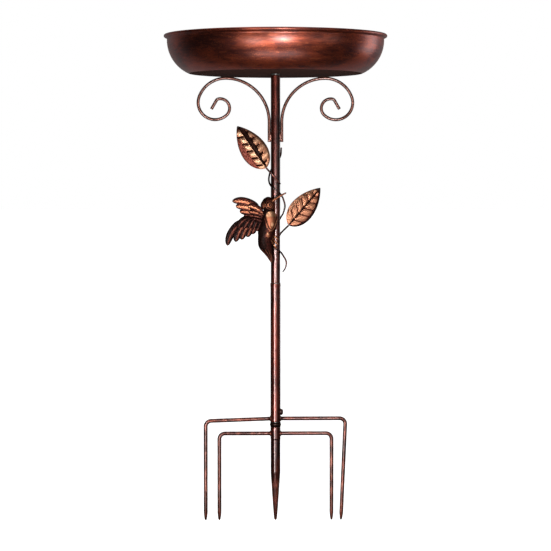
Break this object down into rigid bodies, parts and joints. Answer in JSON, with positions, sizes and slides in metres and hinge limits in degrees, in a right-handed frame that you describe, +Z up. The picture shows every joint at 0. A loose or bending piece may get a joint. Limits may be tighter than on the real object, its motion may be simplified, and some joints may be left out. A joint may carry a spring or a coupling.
{
  "type": "bird bath",
  "caption": "Garden bird bath: a round metal bowl on a slim staked pole with wire scrolls, a leafy vine, a hummingbird and a pronged ground anchor.",
  "frame": {"origin": "on the pole's axis, level with the points of the ground anchor", "axes": "+Z up along the pole; +X to the right as seen from the front, along the prongs and scrolls; -Y is the front, where the bird and leaves are"},
  "size_m": [0.356, 0.3558, 0.777],
  "materials": {
    "bowl_copper": "antique copper paint, dark red-brown, brushed and rubbed through in streaks",
    "pole_bronze": "antique copper paint, dark brown, semi-gloss, rubbed copper patches",
    "rod_bronze": "antique copper paint, brown with rubbed copper edges",
    "vine_bronze": "dark antique copper paint, semi-gloss",
    "leaf_copper": "rubbed copper with dark grooves and edges",
    "bird_copper": "dark antique copper with bright rubbed high spots",
    "dark_bronze": "nearly black antique finish",
    "bar_steel": "plain drawn steel bar",
    "washer_rubber": "matt black rubber"
  },
  "bodies": {
    "anchor": {"spike": "pole_bronze", "spigot": "bar_steel", "prong_inner_left": "rod_bronze", "prong_inner_right": "rod_bronze"},
    "ring": {"spacer_ring": "dark_bronze"},
    "lower_section": {"lower_pole": "pole_bronze", "prong_outer_left": "rod_bronze", "prong_outer_right": "rod_bronze", "clamp_boss": "rod_bronze"},
    "screw": {"clamp_screw": "dark_bronze"},
    "joint_bar": {"coupler": "bar_steel"},
    "upper_section": {"upper_pole": "pole_bronze", "scroll_left": "rod_bronze", "scroll_right": "rod_bronze", "vine_upper": "vine_bronze", "vine_lower": "vine_bronze", "leaf_upper": "leaf_copper", "leaf_upper_stem": "vine_bronze", "leaf_lower": "leaf_copper", "leaf_lower_stem": "vine_bronze", "bird_body": "bird_copper", "bird_beak": "vine_bronze", "bird_wing_upper": "bird_copper", "bird_wing_lower": "bird_copper", "bird_tail": "bird_copper", "bird_claws": "vine_bronze"},
    "washer": {"bowl_washer": "washer_rubber"},
    "basin": {"bowl": "bowl_copper", "bowl_peg": "bar_steel"}
  },
  "joints": [
    {"name": "anchor_turn", "type": "hinge", "parent": "anchor", "child": "ring", "pos_m": [0, 0, 0.154], "axis": [0, 0, 1], "continuous": true},
    {"name": "lower_lift", "type": "slide", "parent": "ring", "child": "lower_section", "axis": [0, 0, 1], "range_m": [0, 0.06]},
    {"name": "clamp_turn", "type": "hinge", "parent": "lower_section", "child": "screw", "pos_m": [0.009, 0, 0.174], "axis": [1, 0, 0], "continuous": true},
    {"name": "pole_turn", "type": "hinge", "parent": "lower_section", "child": "joint_bar", "pos_m": [0, 0, 0.381], "axis": [0, 0, 1], "continuous": true},
    {"name": "upper_lift", "type": "slide", "parent": "joint_bar", "child": "upper_section", "axis": [0, 0, 1], "range_m": [0, 0.042]},
    {"name": "bowl_turn", "type": "hinge", "parent": "upper_section", "child": "washer", "pos_m": [0, 0, 0.714], "axis": [0, 0, 1], "continuous": true},
    {"name": "bowl_lift", "type": "slide", "parent": "washer", "child": "basin", "axis": [0, 0, 1], "range_m": [0, 0.032]}
  ]
}
